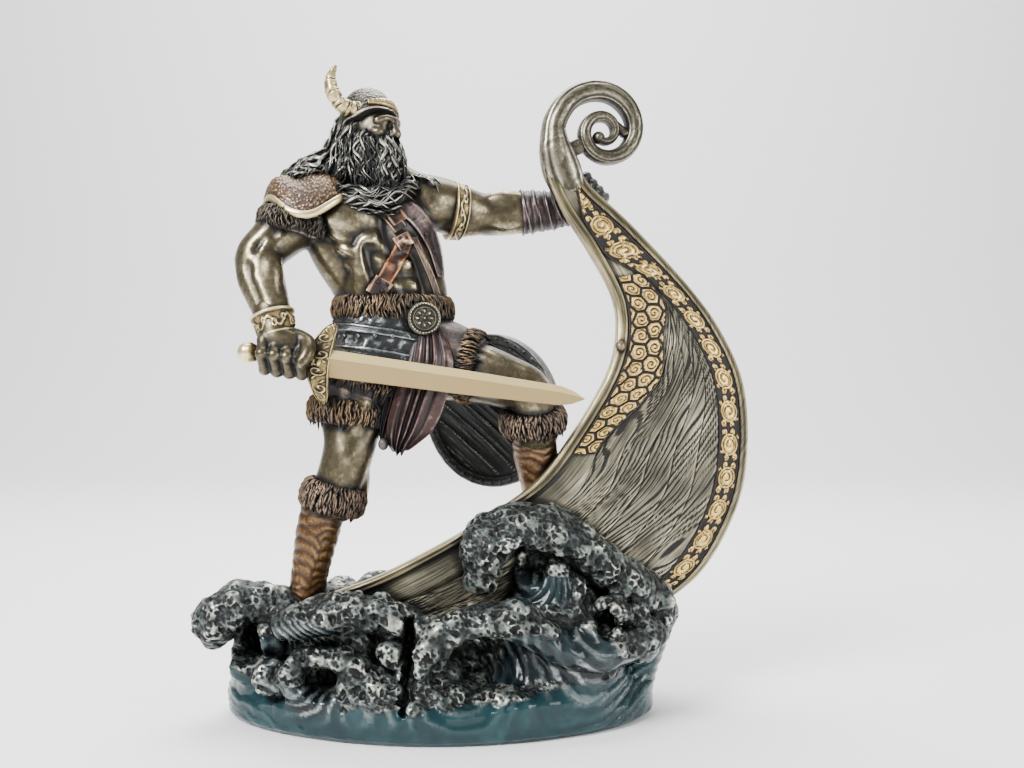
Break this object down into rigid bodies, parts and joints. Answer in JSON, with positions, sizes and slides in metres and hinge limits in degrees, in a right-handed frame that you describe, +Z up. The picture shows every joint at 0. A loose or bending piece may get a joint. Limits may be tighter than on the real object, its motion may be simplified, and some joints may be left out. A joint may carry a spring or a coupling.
{
  "type": "viking ship figurine",
  "caption": "Cold-cast table figurine: a horned-helmet warrior with sword and shield at the spiral prow of a longship that breaks through curling waves.",
  "frame": {"origin": "centre of the whole figurine's bounding box, on its underside", "axes": "+Z up, +X to the right of the front view towards the prow, -Y towards the viewer"},
  "size_m": [0.2419, 0.1154, 0.2772],
  "materials": {
    "painted_sea": "cold-cast resin painted teal, with silver-rubbed foam over black hollows",
    "weathered_bronze": "cold-cast resin rubbed to grey-green bronze like weathered planks, with gilt scrollwork",
    "antique_bronze": "cold-cast resin with a dark bronze patina and bright high points",
    "pale_gilt": "cold-cast resin in a satin pale gold",
    "dark_patina": "cold-cast resin, nearly black, rubbed grey on its edges"
  },
  "bodies": {
    "root": {"sea_base": "painted_sea", "ship_prow": "weathered_bronze", "warrior": "antique_bronze", "sword": "pale_gilt", "shield": "dark_patina"}
  },
  "joints": []
}
